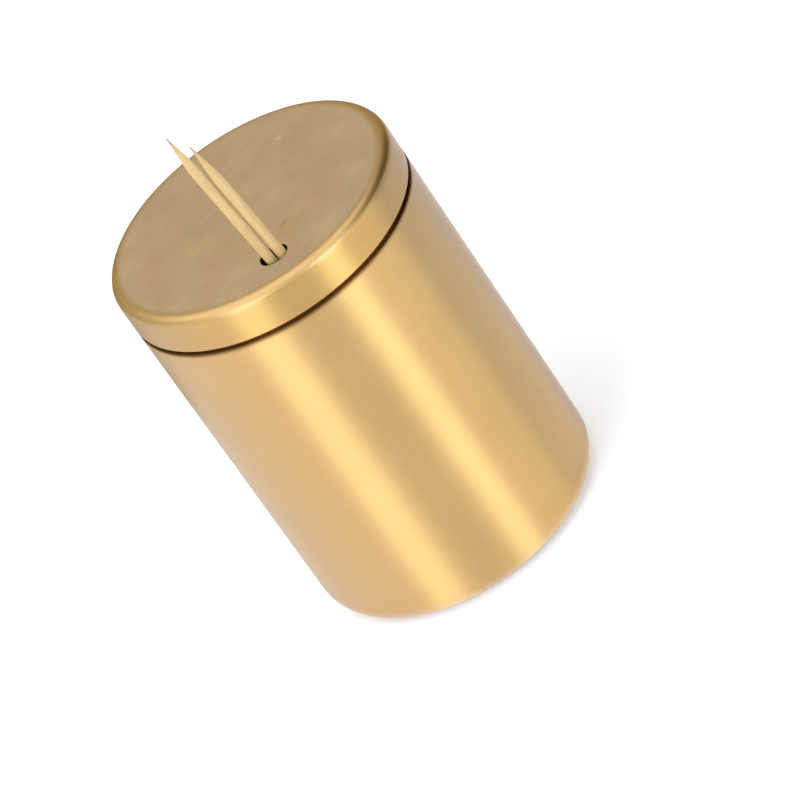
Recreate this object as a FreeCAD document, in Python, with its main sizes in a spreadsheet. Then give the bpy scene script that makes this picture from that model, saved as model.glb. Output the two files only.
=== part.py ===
import FreeCAD, Part
import math
import os
import Sketcher

# Toothpick dispenser: a drawn round can, a neck ring pressed into its mouth and a slip lid, flush
# with the can, that has one punched hole near its edge. Two toothpicks stand out of the hole and
# the rest of the supply leans against the wall opposite. Lengths are in millimetres.
# +Z is up, the origin is the middle of the circle that the can stands on, the hole is towards -Y.

document = FreeCAD.newDocument("ToothpickDispenser")
sheet = document.addObject("Spreadsheet::Sheet", "Sizes")

# Driving dimensions: alias, value, what it is
drivingSizes = [
    ("canDiameter", 58.0, "outside of the can and of the lid"),
    ("canHeight", 72.0, "standing face to mouth edge"),
    ("canSheet", 0.6, "sheet of the can"),
    ("canCorner", 4.8, "outside radius of the bottom corner"),
    ("panelDiameter", 42.0, "raised panel in the bottom, measured underneath"),
    ("panelDepth", 0.8, "how far the panel is raised"),
    ("panelFlankAngle", 45.0, "degrees, slope of the panel's side"),
    ("edgeBreak", 0.2, "bevel on the can's mouth and on the lid's skirt"),
    ("ringSheet", 0.5, "sheet of the neck ring"),
    ("ringGrip", 9.0, "length of the ring pressed into the can"),
    ("ringRim", 2.0, "width of the ring's turned-in rim"),
    ("lidHeight", 7.6, "skirt edge to top of the lid"),
    ("lidCorner", 2.0, "outside radius of the lid's top corner"),
    ("lidClearance", 0.1, "lid skirt to neck ring, on the radius"),
    ("revealGap", 0.9, "open shadow line between lid and can"),
    ("seatGap", 0.05, "lid underside to the ring's rim"),
    ("holeDiameter", 5.5, "dispensing hole"),
    ("holeOffset", 19.4, "middle of the lid to the middle of the hole"),
    ("holeBreak", 0.15, "bevel around the punched hole"),
    ("pickLength", 65.0, "toothpick, tip to tip"),
    ("pickDiameter", 2.1, "shaft of a toothpick"),
    ("pickTaper", 8.0, "length of a pointed end"),
    ("pickTip", 0.3, "blunt end of the point"),
    ("pairGap", 0.08, "between the two toothpicks in the hole"),
    ("pairShift", 0.2, "middle of the pair to the right of the hole's middle"),
    ("pairToRim", 0.6, "middle of the pair from the hole's middle towards the lid's edge"),
    ("pairLeanAngle", 5.1, "degrees, tops of the pair to the left"),
    ("leftProud", 31.6, "left toothpick above the lid, along the toothpick"),
    ("rightProud", 27.6, "right toothpick above the lid, along the toothpick"),
    ("looseGap", 0.2, "between neighbours in the supply"),
    ("looseReach", 5.1, "how much further in a foot stands than its head, outer row"),
    ("looseReachStep", 0.7, "extra reach of each row inside the outer one"),
    ("looseTwistAngle", 5.0, "degrees around the can from foot to head, the other way in the next row"),
    ("wallGap", 0.3, "heads of the outer row to the neck ring"),
    ("floorGap", 0.2, "feet of the supply to the floor"),
]
for row, (alias, value, meaning) in enumerate(drivingSizes, start=1):
    sheet.set(f"A{row}", meaning)
    sheet.set(f"B{row}", str(value))
    sheet.setAlias(f"B{row}", alias)
document.recompute()

# Loose toothpicks in each row of the supply, outer row first
looseRowCounts = (16, 12, 8)

# Counts of the flats that stand in for small rounds, and of a toothpick's sides, which keep the
# mesh light
lidCornerFlatCount = 4
ringCornerFlatCount = 2
insideCornerFlatCount = 2
pairSideCount = 24
looseSideCount = 8

# How near an edge has to be to the radius or height that it is looked up by
matchTolerance = 0.001

# Sizes that follow from the driving ones, as formulas for sketches and features. The lid slips
# over the ring with its clearance and stays flush with the can, which sets its sheet.
outside = "Sizes.canDiameter / 2"
canBore = f"({outside} - Sizes.canSheet)"
lidSheet = "(Sizes.canSheet - Sizes.lidClearance)"
ringCorner = f"(Sizes.lidCorner - {lidSheet} - Sizes.lidClearance)"
ringHeight = f"(Sizes.ringGrip + Sizes.revealGap + Sizes.lidHeight - {lidSheet} - Sizes.seatGap)"
skirtHeight = "(Sizes.canHeight + Sizes.revealGap)"
ringFoot = "(Sizes.canHeight - Sizes.ringGrip)"


def size(alias):
    return float(sheet.get(alias))


def valueOf(formula):
    result = sheet.evalExpression(formula)
    return float(getattr(result, "Value", result))


def addBody(name):
    body = document.addObject("PartDesign::Body", name)
    body.Label = name
    return body


def addSketch(body, name, role):
    sketch = body.newObject("Sketcher::SketchObject", f"{body.Name}_{name}")
    plane = next(item for item in body.Origin.OriginFeatures if item.Role == role)
    sketch.AttachmentSupport = [(plane, "")]
    sketch.MapMode = "FlatFace"
    return sketch


def addDimension(sketch, constraint, name, formula):
    index = sketch.addConstraint(constraint)
    sketch.renameConstraint(index, name)
    sketch.setExpression(f"Constraints.{name}", formula)


# A sheet-metal round: its half section, given as a formula for the radius and for the height of
# each corner, turned about the body's Z. A corner at zero lies on the axis or on the base line.
def addTurned(body, corners):
    sketch = addSketch(body, "section", "XZ_Plane")
    places = [(valueOf(radius), valueOf(height)) for radius, height in corners]
    for number, (across, up) in enumerate(places):
        nextAcross, nextUp = places[(number + 1) % len(places)]
        start = FreeCAD.Vector(across, up, 0)
        sketch.addGeometry(Part.LineSegment(start, FreeCAD.Vector(nextAcross, nextUp, 0)), False)
    for number, (radius, height) in enumerate(corners):
        across, up = places[number]
        following = (number + 1) % len(corners)
        sketch.addConstraint(Sketcher.Constraint("Coincident", number, 2, following, 1))
        if across:
            distance = Sketcher.Constraint("DistanceX", -1, 1, number, 1, across)
            addDimension(sketch, distance, f"radius{number}", radius)
        else:
            sketch.addConstraint(Sketcher.Constraint("PointOnObject", number, 1, -2))
        if up:
            distance = Sketcher.Constraint("DistanceY", -1, 1, number, 1, up)
            addDimension(sketch, distance, f"height{number}", height)
        else:
            sketch.addConstraint(Sketcher.Constraint("PointOnObject", number, 1, -1))
    turned = body.newObject("PartDesign::Revolution", f"{body.Name}_turned")
    turned.Profile = sketch
    turned.ReferenceAxis = (sketch, ["V_Axis"])
    turned.Angle = 360
    document.recompute()
    return turned


# A circle on the body's XY plane, moved towards -Y by the offset
def addCircle(body, name, diameter, offset):
    sketch = addSketch(body, name, "XY_Plane")
    middle = FreeCAD.Vector(0, -valueOf(offset), 0)
    circle = Part.Circle(middle, FreeCAD.Vector(0, 0, 1), valueOf(diameter) / 2)
    sketch.addGeometry(circle, False)
    sketch.addConstraint(Sketcher.Constraint("PointOnObject", 0, 3, -2))
    across = Sketcher.Constraint("Diameter", 0, valueOf(diameter))
    addDimension(sketch, across, "across", diameter)
    away = Sketcher.Constraint("DistanceY", 0, 3, -1, 1, valueOf(offset))
    addDimension(sketch, away, "away", offset)
    return sketch


# Corners of a quarter turn in flats, around a middle, from one angle to another in degrees from
# the horizontal
def quarterTurn(middleRadius, middleHeight, radius, first, last, count):
    corners = []
    for number in range(count + 1):
        angle = first + (last - first) * number / count
        across = f"{middleRadius} + {radius} * cos({angle:g})"
        up = f"{middleHeight} + {radius} * sin({angle:g})"
        corners.append((across, up))
    return corners


# The full circles of a shape that have this radius at this height
def circlesAt(shape, radius, height):
    names = []
    for number, edge in enumerate(shape.Edges, start=1):
        if not isinstance(edge.Curve, Part.Circle):
            continue
        radiusMatches = abs(edge.Curve.Radius - radius) < matchTolerance
        if radiusMatches and abs(edge.Curve.Center.z - height) < matchTolerance:
            names.append(f"Edge{number}")
    if not names:
        raise RuntimeError(f"no circle of radius {radius:g} at height {height:g}")
    return names


# The edges of an upright shape that go around its two ends
def levelEdges(shape):
    edges = enumerate(shape.Edges, start=1)
    return [f"Edge{number}" for number, edge in edges if edge.BoundBox.ZLength < matchTolerance]


# Rounds or bevels edges of the body; kind is Fillet, with a Radius, or Chamfer, with a Size
def dressEdges(body, name, kind, edges, measure, formula):
    base = body.Tip
    dressing = body.newObject(f"PartDesign::{kind}", f"{body.Name}_{name}")
    dressing.Base = (base, edges)
    dressing.setExpression(measure, formula)
    document.recompute()
    return dressing


# Can: one drawn cup with a rounded corner and a shallow raised panel, so that it stands on a ring.
# The sheet keeps its thickness across the panel.
def makeCan():
    body = addBody("can_body")
    panel = "Sizes.panelDiameter / 2"
    inward = "Sizes.panelDepth / tan(Sizes.panelFlankAngle)"
    bend = "Sizes.canSheet * tan(Sizes.panelFlankAngle / 2)"
    underside = [
        ("0", "Sizes.panelDepth"),
        (f"{panel} - {inward}", "Sizes.panelDepth"),
        (panel, "0"),
        (outside, "0"),
    ]
    mouth = [
        (outside, "Sizes.canHeight - Sizes.edgeBreak"),
        (f"{outside} - Sizes.edgeBreak", "Sizes.canHeight"),
        (canBore, "Sizes.canHeight"),
    ]
    middle = f"{outside} - Sizes.canCorner"
    insideRadius = "(Sizes.canCorner - Sizes.canSheet)"
    insideCorner = quarterTurn(middle, "Sizes.canCorner", insideRadius, 0, -90, insideCornerFlatCount)
    floor = [
        (f"{panel} + {bend}", "Sizes.canSheet"),
        (f"{panel} - {inward} + {bend}", "Sizes.panelDepth + Sizes.canSheet"),
        ("0", "Sizes.panelDepth + Sizes.canSheet"),
    ]
    addTurned(body, underside + mouth + insideCorner + floor)
    corner = circlesAt(body.Shape, size("canDiameter") / 2, 0)
    dressEdges(body, "corner", "Fillet", corner, "Radius", "Sizes.canCorner")
    return body


# Neck ring: fills the can's bore, stands proud of its mouth and turns in at the top, so that the
# lid's flat underside comes to rest on the rim and leaves the reveal open
def makeNeckRing():
    body = addBody("neck_ring")
    middleRadius = f"{canBore} - {ringCorner}"
    middleHeight = f"{ringHeight} - {ringCorner}"
    rim = f"{canBore} - Sizes.ringRim"
    insideRadius = f"({ringCorner} - Sizes.ringSheet)"
    section = [(canBore, "0")]
    section += quarterTurn(middleRadius, middleHeight, ringCorner, 0, 90, ringCornerFlatCount)
    section += [(rim, ringHeight), (rim, f"{ringHeight} - Sizes.ringSheet")]
    section += quarterTurn(middleRadius, middleHeight, insideRadius, 90, 0, 1)
    section += [(f"{canBore} - Sizes.ringSheet", "0")]
    addTurned(body, section)
    body.setExpression("Placement.Base.z", ringFoot)
    return body


# Lid: a drawn cap, flush with the can, with the dispensing hole punched near its edge
def makeLid():
    body = addBody("lid")
    middleRadius = f"{outside} - Sizes.lidCorner"
    middleHeight = "Sizes.lidHeight - Sizes.lidCorner"
    insideRadius = f"(Sizes.lidCorner - {lidSheet})"
    section = [(f"{outside} - Sizes.edgeBreak", "0"), (outside, "Sizes.edgeBreak")]
    section += quarterTurn(middleRadius, middleHeight, "Sizes.lidCorner", 0, 90, lidCornerFlatCount)
    section += [("0", "Sizes.lidHeight"), ("0", f"Sizes.lidHeight - {lidSheet}")]
    section += quarterTurn(middleRadius, middleHeight, insideRadius, 90, 0, insideCornerFlatCount)
    section += [(f"{outside} - {lidSheet}", "0")]
    addTurned(body, section)

    outline = addCircle(body, "hole_outline", "Sizes.holeDiameter", "Sizes.holeOffset")
    volumeBefore = body.Shape.Volume
    hole = body.newObject("PartDesign::Pocket", "lid_hole")
    hole.Profile = outline
    hole.Reversed = True
    hole.Type = "ThroughAll"
    document.recompute()
    if body.Shape.Volume >= volumeBefore:
        raise RuntimeError("the dispensing hole cuts nothing")
    edge = circlesAt(body.Shape, size("holeDiameter") / 2, size("lidHeight"))
    dressEdges(body, "hole_edge", "Chamfer", edge, "Size", "Sizes.holeBreak")
    body.setExpression("Placement.Base.z", skirtHeight)
    return body


# Toothpick: a straight shaft, bevelled to a point at either end, with its lower tip at the body's
# origin. Its corners lie on the shaft's diameter.
def makeToothpick(name, sides):
    body = addBody(name)
    shaft = body.newObject("PartDesign::AdditivePrism", f"{name}_shaft")
    shaft.Polygon = sides
    shaft.setExpression("Circumradius", "Sizes.pickDiameter / 2")
    shaft.setExpression("Height", "Sizes.pickLength")
    document.recompute()
    points = body.newObject("PartDesign::Chamfer", f"{name}_points")
    points.Base = (shaft, levelEdges(shaft.Shape))
    points.ChamferType = "Two distances"
    points.setExpression("Size", "Sizes.pickTaper")
    inset = f"Sizes.pickDiameter / 2 * cos(180 / {sides}) - Sizes.pickTip / 2"
    points.setExpression("Size2", inset)
    document.recompute()
    return body


# Puts the lower tip at the foot and points the toothpick along the direction
def placeToothpick(body, foot, direction):
    upright = FreeCAD.Vector(0, 0, 1)
    body.Placement = FreeCAD.Placement(foot, FreeCAD.Rotation(upright, direction))


# The pair in the hole: parallel, leaning to the left, against the side of the hole that is
# nearer to the lid's edge
def makeDispensedPair():
    spacing = size("pickDiameter") + size("pairGap")
    lean = math.radians(size("pairLeanAngle"))
    direction = FreeCAD.Vector(-math.sin(lean), 0, math.cos(lean))
    lidTop = size("canHeight") + size("revealGap") + size("lidHeight")
    towardsEdge = size("holeOffset") + size("pairToRim")
    pair = []
    for name, side, proud in (("left_toothpick", -1, "leftProud"), ("right_toothpick", 1, "rightProud")):
        body = makeToothpick(name, pairSideCount)
        across = size("pairShift") + side * spacing / 2 / math.cos(lean)
        atLid = FreeCAD.Vector(across, -towardsEdge, lidTop)
        foot = atLid - direction * (size("pickLength") - size(proud))
        placeToothpick(body, foot, direction)
        pair.append(body)
    return pair


def floorUnder(radius):
    overPanel = radius < size("panelDiameter") / 2 + size("canSheet")
    return size("canSheet") + (size("panelDepth") if overPanel else 0)


# The supply: rows of toothpicks that stand on the floor and lean outwards, the outer row on the
# wall and each further row on the one outside it, on the side away from the hole
def makeSupply():
    pitch = size("pickDiameter") + size("looseGap")
    ringInside = size("canDiameter") / 2 - size("canSheet") - size("ringSheet")
    outerHead = ringInside - size("pickTip") / 2 - size("wallGap")
    away = math.radians(90)
    supply = []
    for row, count in enumerate(looseRowCounts):
        headRadius = outerHead - row * pitch
        footRadius = headRadius - size("looseReach") - row * size("looseReachStep")
        footHeight = floorUnder(footRadius) + size("floorGap")
        twist = math.radians(size("looseTwistAngle")) * (1 if row % 2 == 0 else -1)
        for place in range(count):
            angle = away + (place - (count - 1) / 2) * pitch / footRadius
            footAngle = angle - twist / 2
            headAngle = angle + twist / 2
            across = headRadius * math.cos(headAngle) - footRadius * math.cos(footAngle)
            along = headRadius * math.sin(headAngle) - footRadius * math.sin(footAngle)
            rise = math.sqrt(size("pickLength") ** 2 - across ** 2 - along ** 2)
            foot = FreeCAD.Vector(
                footRadius * math.cos(footAngle), footRadius * math.sin(footAngle), footHeight
            )
            body = makeToothpick(f"loose_toothpick_{len(supply) + 1:02d}", looseSideCount)
            placeToothpick(body, foot, FreeCAD.Vector(across, along, rise))
            supply.append(body)
    return supply


pieces = [makeCan(), makeNeckRing(), makeLid()]
pieces += makeDispensedPair()
pieces += makeSupply()
document.recompute()

for item in document.Objects:
    if "Invalid" in item.State or "Error" in item.State:
        raise RuntimeError(f"{item.Label} did not recompute: {item.State}")
for body in pieces:
    if body.Shape.isNull() or not body.Shape.isValid() or len(body.Shape.Solids) != 1:
        raise RuntimeError(f"{body.Label} is not one valid solid")

os.makedirs("parts", exist_ok=True)
for body in pieces:
    body.Shape.exportStep(f"parts/{body.Label}.step")
print(f"{len(pieces)} pieces written")
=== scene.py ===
import math

import bpy
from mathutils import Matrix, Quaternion, Vector


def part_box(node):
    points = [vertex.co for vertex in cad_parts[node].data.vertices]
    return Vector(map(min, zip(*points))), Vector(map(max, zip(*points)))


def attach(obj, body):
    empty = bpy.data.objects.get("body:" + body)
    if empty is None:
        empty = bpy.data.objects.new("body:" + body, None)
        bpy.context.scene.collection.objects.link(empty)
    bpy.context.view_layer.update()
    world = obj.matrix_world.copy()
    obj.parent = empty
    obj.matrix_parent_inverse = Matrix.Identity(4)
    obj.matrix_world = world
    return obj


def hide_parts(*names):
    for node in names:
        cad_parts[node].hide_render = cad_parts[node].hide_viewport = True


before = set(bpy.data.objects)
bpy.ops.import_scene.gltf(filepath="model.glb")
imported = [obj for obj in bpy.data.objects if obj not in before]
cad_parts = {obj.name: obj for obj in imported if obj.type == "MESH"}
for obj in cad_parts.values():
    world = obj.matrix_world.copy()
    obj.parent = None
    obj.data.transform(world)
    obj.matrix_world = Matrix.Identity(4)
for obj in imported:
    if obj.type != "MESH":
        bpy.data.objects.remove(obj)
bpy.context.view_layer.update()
print("frame loaded")

mm = 0.001
white = (1.0, 1.0, 1.0, 1.0)
bpy.context.scene.view_settings.view_transform = "Standard"

# settings that several nodes share
colourMix = {"data_type": "RGBA"}
numberMix = {"data_type": "FLOAT"}
softStep = {"interpolation_type": "SMOOTHSTEP"}
multiply = {"operation": "MULTIPLY"}
fineNoise = {"Scale": 1.0, "Detail": 3.0, "Roughness": 0.6}
slowDetail = 2.0


# sRGB hex to linear
def hexColour(text):
    levels = [int(text[place:place + 2], 16) / 255 for place in (1, 3, 5)]
    linear = [v / 12.92 if v <= 0.04045 else ((v + 0.055) / 1.055) ** 2.4 for v in levels]
    return (*linear, 1.0)


def newMaterial(name):
    material = bpy.data.materials.new(name)
    material.use_nodes = True
    material.node_tree.nodes.clear()
    return material


# adds a node, sets its settings, and sets or links its inputs by name, identifier or number;
# gives back the output that is asked for, or else the node
def addNode(owner, kind, settings=None, inputs=None, output=None):
    tree = owner.node_tree
    node = tree.nodes.new(kind)
    for name, value in (settings or {}).items():
        setattr(node, name, value)
    for name, value in (inputs or {}).items():
        named = [socket for socket in node.inputs if name in (socket.identifier, socket.name)]
        socket = node.inputs[name] if isinstance(name, int) else named[0]
        if isinstance(value, bpy.types.NodeSocket):
            tree.links.new(value, socket)
        else:
            socket.default_value = value
    if output is None:
        return node
    return next(socket for socket in node.outputs if output in (socket.identifier, socket.name))


def newPiece(name, verts, faces, material):
    mesh = bpy.data.meshes.new(name)
    mesh.from_pydata(verts, [], faces)
    mesh.materials.append(material)
    mesh.shade_smooth()
    mesh.update()
    piece = bpy.data.objects.new(name, mesh)
    bpy.context.scene.collection.objects.link(piece)
    return piece


# a turn from one angle to another as (offset, radius, height) rings, in degrees from level
def turnRings(offset, radius, height, bend, first, last, steps):
    rings = []
    for step in range(steps + 1):
        angle = math.radians(first + (last - first) * step / steps)
        rings.append((offset, radius + bend * math.cos(angle), height + bend * math.sin(angle)))
    return rings


# joins circles, each moved towards -Y by its offset, into one skin of quads; a closed skin
# joins the last circle to the first
def ringSkin(rings, sides, closed):
    verts, faces = [], []
    for offset, radius, height in rings:
        for side in range(sides):
            turn = 2 * math.pi * side / sides
            verts.append((radius * math.sin(turn), -offset - radius * math.cos(turn), height))
    count = len(rings)
    for ring in range(count if closed else count - 1):
        here, there = ring * sides, (ring + 1) % count * sides
        for side in range(sides):
            after = (side + 1) % sides
            faces.append((here + side, here + after, there + after, there + side))
    return verts, faces


# large faces keep their own normals next to narrow rounds
def weighNormals(piece):
    weighing = piece.modifiers.new("weighNormals", "WEIGHTED_NORMAL")
    weighing.mode = "FACE_AREA"
    weighing.weight = 100


# Stainless steel, brushed, under a gold-tinted clear lacquer. The brushing draws highlights out
# across its lines, the lacquer whitens steep views, and its fine haze pales the sides.
# The lines of a fine belt are about 0.05 mm apart, too fine to show, so they are drawn six to
# eight times as coarse.
patchStrength = 0.8  # how much the slow patches shift the shade
tintStep = (0.33, 0.67)  # noise values between which the tint thickens
hazeRoughness = 0.6
alongAxis = 0.25  # part of a turn, from around the axis
steelValues = ("roughness", "anisotropy", "coat", "haze")  # these change across the lid


# brushed lines: straight where the look has a lineTurn, else around the axis
def addLines(material, look):
    place = addNode(material, "ShaderNodeTexCoord", output="Object")
    along, across = 1 / look["lineLength"], 1 / look["lineSpacing"]
    scale = (along, along, across)
    if "lineTurn" in look:
        scale = (along, across, across)
        turn = (0, 0, -math.radians(look["lineTurn"]))
        place = addNode(material, "ShaderNodeMapping", {},
                        {"Vector": place, "Rotation": turn}, "Vector")
    place = addNode(material, "ShaderNodeVectorMath", multiply, {0: place, 1: scale}, "Vector")
    return addNode(material, "ShaderNodeTexNoise", {}, {"Vector": place, **fineNoise}, "Fac")


# the metal's colour: lines of two shades, with slow patches where the belt pressed harder
def addBrushedColour(material, look, lines):
    place = addNode(material, "ShaderNodeTexCoord", output="Object")
    patches = addNode(material, "ShaderNodeTexNoise", {},
                      {"Vector": place, "Scale": 1 / look["patchSize"], "Detail": slowDetail}, "Fac")
    pressed = addNode(material, "ShaderNodeMath", {"operation": "MULTIPLY_ADD"},
                      {0: patches, 1: patchStrength, 2: -patchStrength / 2}, "Value")
    amount = addNode(material, "ShaderNodeMath", {"operation": "ADD", "use_clamp": True},
                     {0: lines, 1: pressed}, "Value")
    colour = hexColour(look["colour"])
    if "warmColour" in look:
        # the tint lies thicker in places, which are warmer
        tint = addNode(material, "ShaderNodeTexNoise", {},
                       {"Vector": place, "Scale": 1 / look["warmSize"], "Detail": slowDetail}, "Fac")
        thick = addNode(material, "ShaderNodeMapRange", softStep,
                        {"Value": tint, "From Min": tintStep[0], "From Max": tintStep[1]}, "Result")
        colour = addNode(material, "ShaderNodeMix", colourMix,
                         {"Factor_Float": thick, "A_Color": colour,
                          "B_Color": hexColour(look["warmColour"])}, "Result_Color")
    return addNode(material, "ShaderNodeMix", colourMix,
                   {"Factor_Float": amount, "A_Color": hexColour(look["deepColour"]),
                    "B_Color": colour}, "Result_Color")


# the shader itself, from sockets or plain values
def finishSteel(material, look, colour, lines, roughness, anisotropy, coat, haze):
    spread = addNode(material, "ShaderNodeMapRange", {},
                     {"Value": lines, "To Min": -look["roughnessSpread"],
                      "To Max": look["roughnessSpread"]}, "Result")
    roughness = addNode(material, "ShaderNodeMath", {"operation": "ADD"},
                        {0: spread, 1: roughness}, "Value")
    relief = addNode(material, "ShaderNodeBump", {},
                     {"Strength": 1.0, "Distance": look["lineDepth"], "Height": lines}, "Normal")
    # the tangent runs around the axis, and the turn stretches highlights along it
    tangent = addNode(material, "ShaderNodeTangent",
                      {"direction_type": "RADIAL", "axis": "Z"}, output="Tangent")
    shader = addNode(material, "ShaderNodeBsdfPrincipled", {}, {
        "Base Color": colour, "Metallic": 1.0, "Roughness": roughness, "Normal": relief,
        "Tangent": tangent, "Anisotropic": anisotropy, "Anisotropic Rotation": alongAxis,
        "Specular Tint": hexColour(look["edgeColour"]),
        "Coat Weight": coat, "Coat Roughness": look["coatRoughness"],
        "Sheen Weight": haze, "Sheen Roughness": hazeRoughness,
    }, "BSDF")
    addNode(material, "ShaderNodeOutputMaterial", {}, {"Surface": shader})


def makeBrushedSteel(name, look):
    material = newMaterial(name)
    lines = addLines(material, look)
    colour = addBrushedColour(material, look, lines)
    coat, haze = look["coat"], look["haze"]
    if "paintedShadeColour" in look:
        # painted shade: the top edge just under the lid is darkened towards brown and loses its
        # lacquer and haze, standing in for the seam's shade
        place = addNode(material, "ShaderNodeTexCoord", output="Object")
        height = addNode(material, "ShaderNodeSeparateXYZ", {}, {"Vector": place}, "Z")
        start, end = look["paintedShadeHeights"]
        paintedShade = addNode(material, "ShaderNodeMapRange", softStep,
                         {"Value": height, "From Min": start, "From Max": end}, "Result")
        colour = addNode(material, "ShaderNodeMix", colourMix,
                         {"Factor_Float": paintedShade, "A_Color": colour,
                          "B_Color": hexColour(look["paintedShadeColour"])}, "Result_Color")
        coat, haze = [addNode(material, "ShaderNodeMix", numberMix,
                              {"Factor_Float": paintedShade, "A_Float": value, "B_Float": 0.0},
                              "Result_Float") for value in (coat, haze)]
    finishSteel(material, look, colour, lines, look["roughness"], look["anisotropy"], coat, haze)
    return material


# a drawn shell with a raised panel underneath
can = {
    "sheet": 0.6 * mm, "corner": 4.8 * mm, "edge": 0.2 * mm,
    "panelRadius": 21 * mm, "panelDepth": 0.8 * mm,
    # the panel's bends as (outwards, up) from its edge, both in panel depths
    "underBends": ((-1.3, 1), (-1, 0.93), (-0.2, 0.1), (0.2, 0)),
    "insideBends": ((0.4, 0), (0, 0.1), (-0.8, 0.93), (-1.1, 1)),
    "axisGap": 0.02 * mm,  # the turned skin closes around the axis at this radius
    "sides": 192, "cornerSteps": 14, "edgeSteps": 3, "insideSteps": 8,
    "steel": {
        "colour": "#d6ad63", "deepColour": "#ca9f54", "edgeColour": "#b89468",
        "roughness": 0.5, "roughnessSpread": 0.04, "anisotropy": 1.0,
        "lineSpacing": 0.35 * mm, "lineLength": 14 * mm, "lineDepth": 0.004 * mm,
        "patchSize": 18 * mm, "coat": 0.55, "coatRoughness": 0.3, "haze": 0.25,
        # painted shade: a brown band along the top edge, for the seam's shade under the lid
        "paintedShadeColour": "#664010", "paintedShadeHeights": (71.1 * mm, 72.2 * mm),  # above the floor
    },
}


def makeCan(shape):
    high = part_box("can_body")[1]
    radius, top = high.x, high.z
    sheet, corner, edge = shape["sheet"], shape["corner"], shape["edge"]
    panel, depth, gap = shape["panelRadius"], shape["panelDepth"], shape["axisGap"]
    middle = radius - corner
    rings = [(0, gap, depth)]
    rings += [(0, panel + out * depth, up * depth) for out, up in shape["underBends"]]
    rings += turnRings(0, middle, corner, corner, -90, 0, shape["cornerSteps"])
    rings += turnRings(0, radius - edge, top - edge, edge, 0, 90, shape["edgeSteps"])
    rings += [(0, radius - sheet, top)]
    rings += turnRings(0, middle, corner, corner - sheet, 0, -90, shape["insideSteps"])
    rings += [(0, panel + out * depth, sheet + up * depth) for out, up in shape["insideBends"]]
    rings += [(0, gap, sheet + depth)]
    verts, faces = ringSkin(rings, shape["sides"], True)
    steel = makeBrushedSteel("canBrushedSteel", shape["steel"])
    piece = newPiece("canShell", verts, faces, steel)
    weighNormals(piece)
    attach(piece, "can")
    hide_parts("can_body")


makeCan(can)
print("can made")


# a ring pressed into the mouth, turned in at the top; its dark, dull brown is painted shade for the
# seam under the lid
neckRing = {
    "sheet": 0.5 * mm, "corner": 1.4 * mm, "rim": 2.0 * mm, "edge": 0.1 * mm,
    "sides": 160, "cornerSteps": 8, "edgeSteps": 2, "insideSteps": 6,
    "steel": {
        # painted shade: the dark brown stands for the seam's shade
        "colour": "#66350d", "deepColour": "#502809", "edgeColour": "#806850",
        "roughness": 0.45, "roughnessSpread": 0.04, "anisotropy": 0.6,
        "lineSpacing": 0.35 * mm, "lineLength": 10 * mm, "lineDepth": 0.003 * mm,
        "patchSize": 12 * mm, "coat": 0.05, "coatRoughness": 0.3, "haze": 0.0,
    },
}


def makeNeckRing(shape):
    low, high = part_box("neck_ring")
    radius, top, foot = high.x, high.z, low.z
    sheet, corner, edge = shape["sheet"], shape["corner"], shape["edge"]
    middle, rim = radius - corner, radius - shape["rim"]
    rings = [(0, radius, foot)]
    rings += turnRings(0, middle, top - corner, corner, 0, 90, shape["cornerSteps"])
    rings += turnRings(0, rim + edge, top - edge, -edge, -90, 0, shape["edgeSteps"])
    rings += [(0, rim, top - sheet)]
    rings += turnRings(0, middle, top - corner, corner - sheet, 90, 0, shape["insideSteps"])
    rings += [(0, radius - sheet, foot)]
    verts, faces = ringSkin(rings, shape["sides"], True)
    steel = makeBrushedSteel("ringPaintedShadeSteel", shape["steel"])
    piece = newPiece("neckRing", verts, faces, steel)
    weighNormals(piece)
    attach(piece, "can")
    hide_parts("neck_ring")


makeNeckRing(neckRing)
print("neck ring made")


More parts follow.
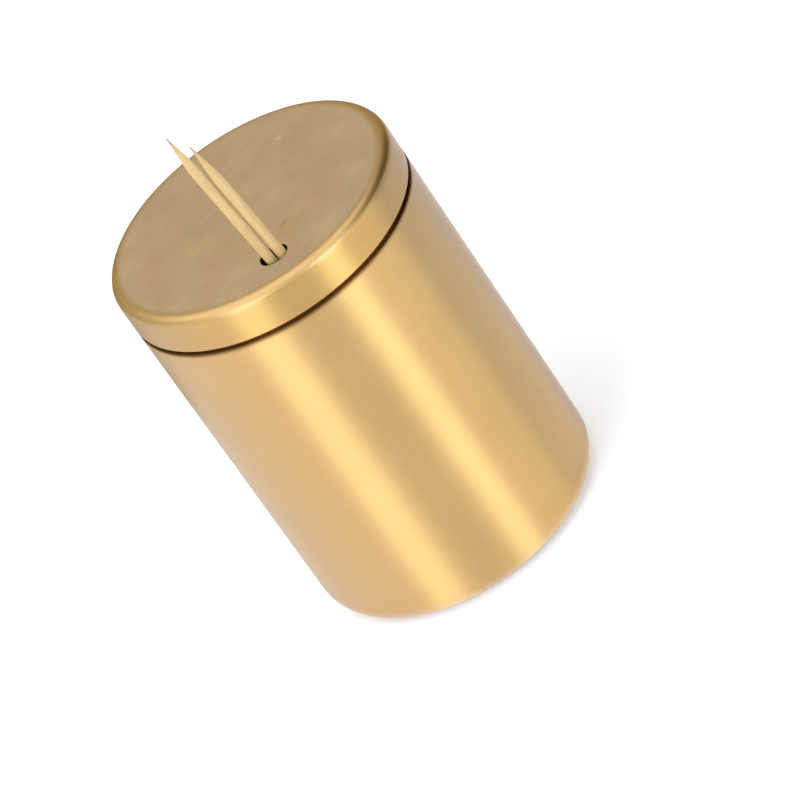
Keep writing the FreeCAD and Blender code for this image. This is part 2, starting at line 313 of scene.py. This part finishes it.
# a drawn slip lid with one punched hole
lid = {
    "sheet": 0.5 * mm, "corner": 2.0 * mm, "edge": 0.2 * mm,
    "holeRadius": 2.75 * mm, "holeOffset": 19.4 * mm, "holeEdge": 0.15 * mm,
    # the face and its underside are circles that open from the hole to the corner, at these
    # shares of the way
    "faceCircles": (0.02, 0.1, 0.25, 0.45, 0.65, 0.85, 0.97), "underCircles": (0.9, 0.5, 0.15),
    "sides": 192, "cornerSteps": 12, "holeSteps": 4, "edgeSteps": 3, "insideSteps": 6,
    # brushed straight with a coarser belt, which leaves it duller and greyer
    "faceSteel": {
        "colour": "#b59d70", "deepColour": "#9d8251", "warmColour": "#b39166",
        "warmSize": 8 * mm, "roughness": 0.42, "anisotropy": 0.0, "coat": 0.6, "haze": 0.1,
        "lineSpacing": 0.4 * mm, "lineLength": 7 * mm, "lineTurn": 44, "patchSize": 9 * mm,
    },
    # burnished by the drawing die, so it mirrors more sharply, and its lacquer has worn thin
    "cornerSteel": {
        "colour": "#ad8f5f", "deepColour": "#a08251", "roughness": 0.41, "anisotropy": 0.35,
        "coat": 0.22, "haze": 0.0,
    },
    # brushed around, like the can
    "skirtSteel": {
        "colour": "#cea454", "deepColour": "#c09442", "edgeColour": "#b89468",
        "roughness": 0.48, "roughnessSpread": 0.05, "anisotropy": 1.0,
        "lineSpacing": 0.3 * mm, "lineLength": 9 * mm, "lineDepth": 0.004 * mm,
        "patchSize": 11 * mm, "coat": 0.55, "coatRoughness": 0.3, "haze": 0.25,
    },
    "cornerRadii": (26.0 * mm, 27.5 * mm),  # where the face goes over into the corner
    "goldDepths": (0.6 * mm, 1.5 * mm),  # under the top, where the corner's colour turns gold
    "skirtDepths": (0.85 * mm, 1.2 * mm),  # and where its gloss becomes the skirt's
    # small marks of use on the face: a pale scuff, and a brown smudge beside the hole
    "marks": [
        {"middle": (11.3 * mm, 14.8 * mm, 0), "length": 1.0 * mm, "width": 0.45 * mm,
         "turn": 3, "colour": "#cbbd9d", "strength": 0.6, "core": 0.2},
        {"middle": (4.3 * mm, -12.3 * mm, 0), "length": 2.1 * mm, "width": 0.7 * mm,
         "turn": 34, "colour": "#86602c", "strength": 0.5, "core": 0.2},
    ],
}


# a soft oval patch of another colour, seen from above
def addMark(material, mark, place, colour):
    away = addNode(material, "ShaderNodeVectorMath", {"operation": "SUBTRACT"},
                   {0: place, 1: mark["middle"]}, "Vector")
    turn = (0, 0, -math.radians(mark["turn"]))
    turned = addNode(material, "ShaderNodeMapping", {}, {"Vector": away, "Rotation": turn}, "Vector")
    shares = addNode(material, "ShaderNodeVectorMath", multiply,
                     {0: turned, 1: (1 / mark["length"], 1 / mark["width"], 0)}, "Vector")
    reach = addNode(material, "ShaderNodeVectorMath", {"operation": "LENGTH"}, {0: shares}, "Value")
    patch = addNode(material, "ShaderNodeMapRange", softStep,
                    {"Value": reach, "From Min": mark["core"], "From Max": 1.0,
                     "To Min": mark["strength"], "To Max": 0.0}, "Result")
    return addNode(material, "ShaderNodeMix", colourMix,
                   {"Factor_Float": patch, "A_Color": colour,
                    "B_Color": hexColour(mark["colour"])}, "Result_Color")


# one material for the whole lid, which goes over from face to corner to skirt
def makeLidSteel(name, shape, top):
    face, corner, skirt = shape["faceSteel"], shape["cornerSteel"], shape["skirtSteel"]
    material = newMaterial(name)
    place = addNode(material, "ShaderNodeTexCoord", output="Object")
    flat = addNode(material, "ShaderNodeVectorMath", multiply,
                   {0: place, 1: (1.0, 1.0, 0.0)}, "Vector")
    radius = addNode(material, "ShaderNodeVectorMath", {"operation": "LENGTH"}, {0: flat}, "Value")
    start, end = shape["cornerRadii"]
    offFace = addNode(material, "ShaderNodeMapRange", softStep,
                      {"Value": radius, "From Min": start, "From Max": end}, "Result")
    height = addNode(material, "ShaderNodeSeparateXYZ", {}, {"Vector": place}, "Z")
    start, end = shape["goldDepths"]
    onGold = addNode(material, "ShaderNodeMapRange", softStep,
                     {"Value": height, "From Min": top - start, "From Max": top - end}, "Result")
    start, end = shape["skirtDepths"]
    onSkirt = addNode(material, "ShaderNodeMapRange", softStep,
                      {"Value": height, "From Min": top - start, "From Max": top - end}, "Result")

    faceLines, skirtLines = addLines(material, face), addLines(material, skirt)
    lines = addNode(material, "ShaderNodeMix", numberMix,
                    {"Factor_Float": offFace, "A_Float": faceLines, "B_Float": skirtLines},
                    "Result_Float")
    faceColour = addBrushedColour(material, face, faceLines)
    for mark in shape["marks"]:
        faceColour = addMark(material, mark, place, faceColour)
    cornerColour = addNode(material, "ShaderNodeMix", colourMix,
                           {"Factor_Float": skirtLines, "A_Color": hexColour(corner["deepColour"]),
                            "B_Color": hexColour(corner["colour"])}, "Result_Color")
    upperColour = addNode(material, "ShaderNodeMix", colourMix,
                          {"Factor_Float": offFace, "A_Color": faceColour,
                           "B_Color": cornerColour}, "Result_Color")
    skirtColour = addBrushedColour(material, skirt, skirtLines)
    colour = addNode(material, "ShaderNodeMix", colourMix,
                     {"Factor_Float": onGold, "A_Color": upperColour,
                      "B_Color": skirtColour}, "Result_Color")
    values = []
    for key in steelValues:
        upper = addNode(material, "ShaderNodeMix", numberMix,
                        {"Factor_Float": offFace, "A_Float": face[key],
                         "B_Float": corner[key]}, "Result_Float")
        values.append(addNode(material, "ShaderNodeMix", numberMix,
                              {"Factor_Float": onSkirt, "A_Float": upper,
                               "B_Float": skirt[key]}, "Result_Float"))
    finishSteel(material, skirt, colour, lines, *values)
    return material


def makeLid(shape):
    low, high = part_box("lid")
    radius, top, foot = high.x, high.z, low.z
    sheet, corner, edge = shape["sheet"], shape["corner"], shape["edge"]
    hole, offset, holeEdge = shape["holeRadius"], shape["holeOffset"], shape["holeEdge"]
    middle, under = radius - corner, top - sheet
    rings = [(offset, hole, under)]
    rings += turnRings(offset, hole + holeEdge, top - holeEdge, -holeEdge, 0, -90,
                       shape["holeSteps"])
    for share in shape["faceCircles"]:
        opened = hole + holeEdge + share * (middle - hole - holeEdge)
        rings.append((offset * (1 - share), opened, top))
    rings += turnRings(0, middle, top - corner, corner, 90, 0, shape["cornerSteps"])
    rings += turnRings(0, radius - edge, foot + edge, edge, 0, -90, shape["edgeSteps"])
    rings += [(0, radius - sheet, foot)]
    rings += turnRings(0, middle, top - corner, corner - sheet, 0, 90, shape["insideSteps"])
    for share in shape["underCircles"]:
        opened = hole + share * (middle - hole)
        rings.append((offset * (1 - share), opened, under))
    verts, faces = ringSkin(rings, shape["sides"], True)
    steel = makeLidSteel("lidBrushedSteel", shape, top)
    piece = newPiece("lidCap", verts, faces, steel)
    weighNormals(piece)
    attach(piece, "lid")
    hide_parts("lid")


makeLid(lid)
print("lid made")


# turned birch, pointed at both ends
toothpick = {
    "radius": 1.0 * mm, "tip": 0.1 * mm, "tipHeight": 0.06 * mm,
    "taper": 8 * mm, "hollow": 1.12, "shoulder": 1.6 * mm, "shoulderDrop": 0.06 * mm,
    "sides": 24, "pointSteps": 8,
    "shaftRings": (1 / 3, 1 / 2, 2 / 3),  # shares of the length
    "endDepth": 1 * mm,  # how far from an end the solid's corners belong to it
    "grainShift": (7 * mm, 3 * mm, 90 * mm),  # from one pick to the next
    # Birch, turned and tumbled smooth and left raw: pale and dull, with a few darker fibres
    # along the pick. Its vessels are about 0.1 mm wide, too fine to show, so the grain is drawn
    # three times as coarse. The points are cut across the grain, which makes them darker.
    "wood": {
        "colour": "#caa970", "grainColour": "#b79157", "grainStep": (0.3, 0.7),
        "grainSpacing": 0.3 * mm, "grainLength": 9 * mm, "grainDepth": 0.012 * mm,
        "grainStrength": 0.6, "roughness": 0.6, "pointColour": "#8f8058",
    },
    "darkPoint": 2.5 * mm,
}


def makeBirch(name, look):
    material = newMaterial(name)
    # the place inside the pick, with Z along it
    place = addNode(material, "ShaderNodeAttribute", {"attribute_name": "pickPlace"},
                    output="Vector")
    scale = (1 / look["grainSpacing"], 1 / look["grainSpacing"], 1 / look["grainLength"])
    stretched = addNode(material, "ShaderNodeVectorMath", multiply, {0: place, 1: scale}, "Vector")
    grain = addNode(material, "ShaderNodeTexNoise", {}, {"Vector": stretched, **fineNoise}, "Fac")
    start, end = look["grainStep"]
    strong = addNode(material, "ShaderNodeMapRange", {},
                     {"Value": grain, "From Min": start, "From Max": end}, "Result")
    colour = addNode(material, "ShaderNodeMix", colourMix,
                     {"Factor_Float": strong, "A_Color": hexColour(look["grainColour"]),
                      "B_Color": hexColour(look["colour"])}, "Result_Color")
    point = addNode(material, "ShaderNodeAttribute", {"attribute_name": "pickPoint"}, output="Fac")
    colour = addNode(material, "ShaderNodeMix", colourMix,
                     {"Factor_Float": point, "A_Color": colour,
                      "B_Color": hexColour(look["pointColour"])}, "Result_Color")
    relief = addNode(material, "ShaderNodeBump", {},
                     {"Strength": look["grainStrength"], "Distance": look["grainDepth"],
                      "Height": grain}, "Normal")
    shader = addNode(material, "ShaderNodeBsdfPrincipled", {}, {
        "Base Color": colour, "Roughness": look["roughness"], "Normal": relief,
    }, "BSDF")
    addNode(material, "ShaderNodeOutputMaterial", {}, {"Surface": shader})
    return material


# the middles of the two blunt ends of a toothpick's solid
def pickEnds(node, depth):
    corners = {tuple(vertex.co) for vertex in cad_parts[node].data.vertices}
    levels = [corner[2] for corner in corners]
    ends = []
    for level in (min(levels), max(levels)):
        near = [Vector(corner) for corner in corners if abs(corner[2] - level) < depth]
        ends.append(sum(near, Vector()) / len(near))
    return ends


# rings of one pointed end, from the tip to where the shaft is straight
def pointRings(shape):
    radius, tip, taper, shoulder = shape["radius"], shape["tip"], shape["taper"], shape["shoulder"]
    rings = [(0, tip / 2, 0), (0, tip, shape["tipHeight"])]
    for step in range(1, shape["pointSteps"] + 1):
        height = (taper + shoulder) * step / shape["pointSteps"]
        share = min(height / taper, 1)
        cone = tip + (radius - tip) * share ** shape["hollow"]
        # the shoulder is a soft bend from the cone to the shaft
        near = max(0, 1 - abs(height - taper) / shoulder)
        rings.append((0, cone - shape["shoulderDrop"] * near ** 2, height))
    return rings


def makeToothpick(name, node, body, slot, shape, number, wood):
    foot, head = pickEnds(node, shape["endDepth"])
    length = (head - foot).length
    point = pointRings(shape)
    rings = point + [(0, shape["radius"], length * share) for share in shape["shaftRings"]]
    rings += [(0, ring[1], length - ring[2]) for ring in reversed(point)]
    sides = shape["sides"]
    verts, faces = ringSkin(rings, sides, False)
    faces.append(tuple(reversed(range(sides))))
    faces.append(tuple(range(len(verts) - sides, len(verts))))
    turn = (head - foot).to_track_quat("Z", "Y")
    placed = [foot + turn @ Vector(vert) for vert in verts]
    piece = newPiece(name, placed, faces, wood)
    # each pick has its own stretch of grain
    shift = Vector([number * step for step in shape["grainShift"]])
    grainPlaces = piece.data.attributes.new("pickPlace", "FLOAT_VECTOR", "POINT")
    for vertex, vert in enumerate(verts):
        grainPlaces.data[vertex].vector = Vector(vert) + shift
    pointShares = piece.data.attributes.new("pickPoint", "FLOAT", "POINT")
    for vertex, vert in enumerate(verts):
        fromEnd = min(vert[2], length - vert[2])
        pointShares.data[vertex].value = max(0, 1 - fromEnd / shape["darkPoint"])
    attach(piece, body)
    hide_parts(node)
    # the brushed lid is too dull to mirror them
    piece.visible_glossy = slot != "dispensed_wood"


birch = makeBirch("rawBirch", toothpick["wood"])
makeToothpick("leftToothpick", "left_toothpick", "left_pick", "dispensed_wood",
              toothpick, 0, birch)
makeToothpick("rightToothpick", "right_toothpick", "right_pick", "dispensed_wood",
              toothpick, 1, birch)
looseNodes = sorted(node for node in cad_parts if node.startswith("loose_toothpick"))
for number, node in enumerate(looseNodes, start=2):
    makeToothpick(f"looseToothpick{number - 1:02d}", node, "supply", "supply_wood",
                  toothpick, number, birch)
print("toothpicks made")


# white paper, sizes in metres; its own glow grows outwards, where the lamps no longer reach it
paper = {"size": 8.0, "colour": "#ededed", "glow": 0.2, "farGlow": 0.8,
         "glowStart": 0.3, "glowEnd": 1.6}


# 1 where a ray comes from the camera, a reflection or glass, else 0
def addSeenRay(owner):
    path = addNode(owner, "ShaderNodeLightPath")
    seen = addNode(owner, "ShaderNodeMath", {"operation": "MAXIMUM"},
                   {0: path.outputs["Is Camera Ray"], 1: path.outputs["Is Glossy Ray"]}, "Value")
    return addNode(owner, "ShaderNodeMath", {"operation": "MAXIMUM"},
                   {0: seen, 1: path.outputs["Is Transmission Ray"]}, "Value")


# stays white to the camera and in reflections, and keeps the can's shadow
def makeFloor(look):
    half = look["size"] / 2
    corners = [(-half, -half, 0), (half, -half, 0), (half, half, 0), (-half, half, 0)]
    material = newMaterial("whitePaper")
    matt = addNode(material, "ShaderNodeBsdfDiffuse", {},
                   {"Color": hexColour(look["colour"])}, "BSDF")
    place = addNode(material, "ShaderNodeTexCoord", output="Object")
    away = addNode(material, "ShaderNodeVectorMath", {"operation": "LENGTH"}, {0: place}, "Value")
    glow = addNode(material, "ShaderNodeMapRange", softStep,
                   {"Value": away, "From Min": look["glowStart"], "From Max": look["glowEnd"],
                    "To Min": look["glow"], "To Max": look["farGlow"]}, "Result")
    strength = addNode(material, "ShaderNodeMath", multiply,
                       {0: addSeenRay(material), 1: glow}, "Value")
    shine = addNode(material, "ShaderNodeEmission", {},
                    {"Color": white, "Strength": strength}, "Emission")
    both = addNode(material, "ShaderNodeAddShader", {}, {0: matt, 1: shine}, "Shader")
    addNode(material, "ShaderNodeOutputMaterial", {}, {"Surface": both})
    newPiece("floor", corners, [(0, 1, 2, 3)], material)


worldLight = {"seen": 1.0, "lighting": 0.3}


def makeWorld(light):
    world = bpy.data.worlds.new("studioWorld")
    bpy.context.scene.world = world
    world.use_nodes = True
    world.node_tree.nodes.clear()
    strength = addNode(world, "ShaderNodeMapRange", {},
                       {"Value": addSeenRay(world), "To Min": light["lighting"],
                        "To Max": light["seen"]}, "Result")
    sky = addNode(world, "ShaderNodeBackground", {},
                  {"Color": white, "Strength": strength}, "Background")
    addNode(world, "ShaderNodeOutputWorld", {}, {"Surface": sky})


# azimuth is from -Y towards +X, angles in degrees, sizes in metres, power in watts
lamps = {
    "stripRight": {"azimuth": 30, "elevation": 20, "distance": 0.9, "size": (0.30, 0.85),
                   "power": 5.5, "colour": "#c6dcff"},
    "stripLeft": {"azimuth": -37, "elevation": 20, "distance": 0.9, "size": (0.38, 0.85),
                  "power": 5.5, "colour": "#c6dcff"},
    "fillRight": {"azimuth": 85, "elevation": 0.5, "distance": 0.9, "size": (1.5, 0.11),
                  "power": 3.8, "colour": "#f8ffe8"},
    "fillLeft": {"azimuth": -108, "elevation": 28, "distance": 0.9, "size": (1.4, 1.0),
                 "power": 1.0, "colour": "#d8ecff"},
    "overhead": {"azimuth": -90, "elevation": 80, "distance": 0.95, "size": (1.2, 1.7),
                 "power": 10.0, "colour": "#ffffff"},
    "pickLight": {"azimuth": -65, "elevation": 14, "distance": 0.6, "size": (0.3, 0.3),
                  "power": 1.2, "colour": "#fff6e0", "mirrored": False},
}
# brown cards that the camera doesn't see: one beside the can gives the lid's corner a dark line,
# and one close behind it keeps the left side from going pale
cards = {
    "rightCard": {"azimuth": 107, "elevation": 28, "distance": 0.5, "size": (0.62, 0.52),
                  "colour": "#3e2410"},
    "leftCard": {"azimuth": -150, "elevation": -20, "distance": 0.11, "size": (0.1, 0.09),
                 "colour": "#6a4c2c"},
}
lampAim = Vector((0, 0, 50 * mm))


# the direction to a lamp or card, and the turn that makes its face look back
def facing(azimuth, elevation):
    azimuth, elevation = math.radians(azimuth), math.radians(elevation)
    away = Vector((math.sin(azimuth) * math.cos(elevation),
                   -math.cos(azimuth) * math.cos(elevation), math.sin(elevation)))
    return away, (-away).to_track_quat("-Z", "Y")


def makeLamp(name, lamp):
    away, turn = facing(lamp["azimuth"], lamp["elevation"])
    light = bpy.data.lights.new(name, "AREA")
    light.shape = "RECTANGLE"
    light.size, light.size_y = lamp["size"]
    light.energy = lamp["power"]
    light.color = hexColour(lamp["colour"])[:3]
    holder = bpy.data.objects.new(name, light)
    holder.location = lampAim + away * lamp["distance"]
    holder.rotation_mode = "QUATERNION"
    holder.rotation_quaternion = turn
    holder.visible_glossy = lamp.get("mirrored", True)
    bpy.context.scene.collection.objects.link(holder)


def makeCard(name, card):
    away, turn = facing(card["azimuth"], card["elevation"])
    wide, high = card["size"][0] / 2, card["size"][1] / 2
    corners = [(-wide, -high, 0), (wide, -high, 0), (wide, high, 0), (-wide, high, 0)]
    placed = [lampAim + away * card["distance"] + turn @ Vector(corner) for corner in corners]
    material = newMaterial(name)
    matt = addNode(material, "ShaderNodeBsdfDiffuse", {},
                   {"Color": hexColour(card["colour"])}, "BSDF")
    addNode(material, "ShaderNodeOutputMaterial", {}, {"Surface": matt})
    piece = newPiece(name, placed, [(0, 1, 2, 3)], material)
    piece.visible_camera = False
    piece.visible_diffuse = False
    piece.visible_shadow = False


makeFloor(paper)
makeWorld(worldLight)
for name, lamp in lamps.items():
    makeLamp(name, lamp)
for name, card in cards.items():
    makeCard(name, card)
print("floor, world and lamps made")


# clip distances in metres, sensor and lens in millimetres
cameraView = {"aim": (3.03 * mm, -5.19 * mm, 31.78 * mm), "distance": 958.63 * mm,
              "azimuth": 2.385, "elevation": 32.101, "roll": -34.872,
              "sensor": 36, "lens": 235.19, "nearest": 0.01, "furthest": 50}


def makeCamera(view):
    back, level = facing(view["azimuth"], view["elevation"])
    data = bpy.data.cameras.new("camera")
    data.lens, data.sensor_width = view["lens"], view["sensor"]
    data.clip_start, data.clip_end = view["nearest"], view["furthest"]
    camera = bpy.data.objects.new("camera", data)
    camera.location = Vector(view["aim"]) + back * view["distance"]
    camera.rotation_mode = "QUATERNION"
    camera.rotation_quaternion = level @ Quaternion((0, 0, 1), math.radians(view["roll"]))
    bpy.context.scene.collection.objects.link(camera)
    bpy.context.scene.camera = camera


makeCamera(cameraView)
print("camera made")
